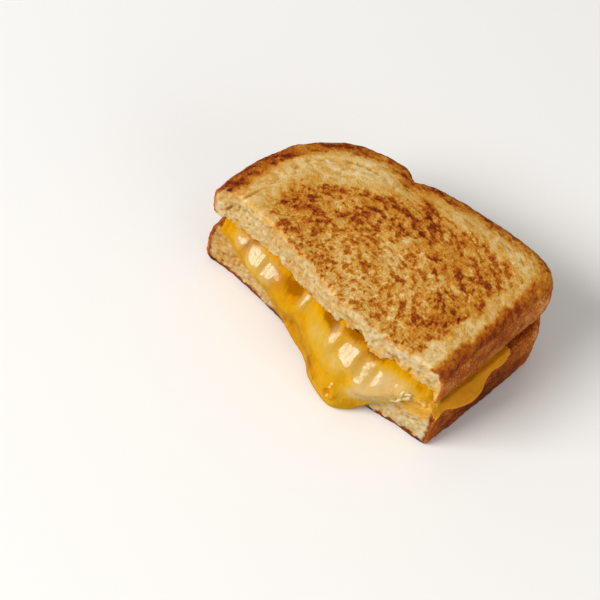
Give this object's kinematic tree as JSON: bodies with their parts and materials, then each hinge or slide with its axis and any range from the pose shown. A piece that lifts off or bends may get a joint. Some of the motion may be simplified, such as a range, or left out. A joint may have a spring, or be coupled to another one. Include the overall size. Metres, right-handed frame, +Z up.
{
  "type": "grilled cheese sandwich half",
  "caption": "Half of a grilled cheese sandwich, knife-cut through the loaf, lying flat: thick toasted white bread with melted cheese draped over the cut.",
  "frame": {"origin": "centre of the bounding box's footprint, on the surface the sandwich lies on", "axes": "+X along the knife cut, from the loaf's domed crown to its flat base; +Y from the cut, where the cheese hangs, to the loaf's side wall; +Z up, out of the toasted face of the upper slice"},
  "size_m": [0.1172, 0.0832, 0.0465],
  "materials": {
    "toasted_bread": "dry, matt, porous crumb with a browned, butter-fried face and a darker crust",
    "melted_cheese": "oily, soft gloss, slightly translucent, marbled yellow and cream"
  },
  "bodies": {
    "root": {"bread_top": "toasted_bread", "bread_bottom": "toasted_bread", "cheese": "melted_cheese"}
  },
  "joints": []
}
